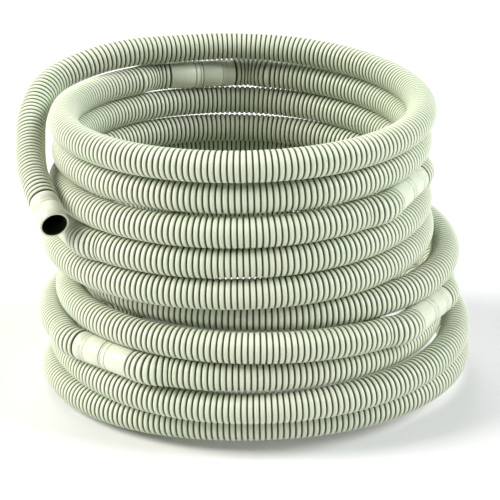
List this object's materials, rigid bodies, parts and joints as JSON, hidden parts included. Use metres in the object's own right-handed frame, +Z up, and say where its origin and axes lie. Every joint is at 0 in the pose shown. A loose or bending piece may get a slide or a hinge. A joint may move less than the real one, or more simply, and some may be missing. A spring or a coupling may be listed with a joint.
{
  "type": "pool vacuum hose",
  "caption": "Pale green ribbed pool vacuum hose with smooth cuffs, wound into a tall free-standing coil with its open mouth hanging at the left.",
  "frame": {"origin": "on the floor, under the middle of the coil's outline", "axes": "+Z up, along the coil's axis; +X to the right of the side where the mouth hangs at the left, and the coil's longest width; +Y to the back"},
  "size_m": [0.7236, 0.6688, 0.4923],
  "materials": {
    "ribbed_hose": "satin pale sage green EVA plastic, with dark shade in the grooves",
    "cuff": "smooth satin cream-green plastic"
  },
  "bodies": {
    "coil": {"hose_1_coil": "ribbed_hose", "joint_1_plain_cuff": "cuff", "joint_1_beaded_cuff": "cuff", "hose_2": "ribbed_hose", "joint_2_plain_cuff": "cuff", "joint_2_beaded_cuff": "cuff", "hose_3": "ribbed_hose", "joint_3_plain_cuff": "cuff", "joint_3_beaded_cuff": "cuff", "hose_4": "ribbed_hose", "joint_4_plain_cuff": "cuff", "joint_4_beaded_cuff": "cuff", "hose_5": "ribbed_hose", "joint_5_plain_cuff": "cuff", "joint_5_beaded_cuff": "cuff", "hose_6": "ribbed_hose", "joint_6_plain_cuff": "cuff", "joint_6_beaded_cuff": "cuff", "hose_7": "ribbed_hose", "joint_7_plain_cuff": "cuff", "joint_7_beaded_cuff": "cuff", "hose_8": "ribbed_hose", "far_end_cuff": "cuff"},
    "tail": {"hose_1_tail": "ribbed_hose"},
    "mouth_end": {"hose_1_mouth": "ribbed_hose", "mouth_cuff": "cuff"}
  },
  "joints": [
    {"name": "free_end_swing", "type": "hinge", "parent": "coil", "child": "tail", "pos_m": [-0.25171, 0.22204, 0.46626], "axis": [0, 0, -1], "range_deg": [0, 35], "stiffness_Nm_per_rad": 1},
    {"name": "free_end_lift", "type": "hinge", "parent": "tail", "child": "mouth_end", "pos_m": [-0.33927, 0.03706, 0.43162], "axis": [-0.9994, 0.0355, 0], "range_deg": [0, 25]}
  ]
}
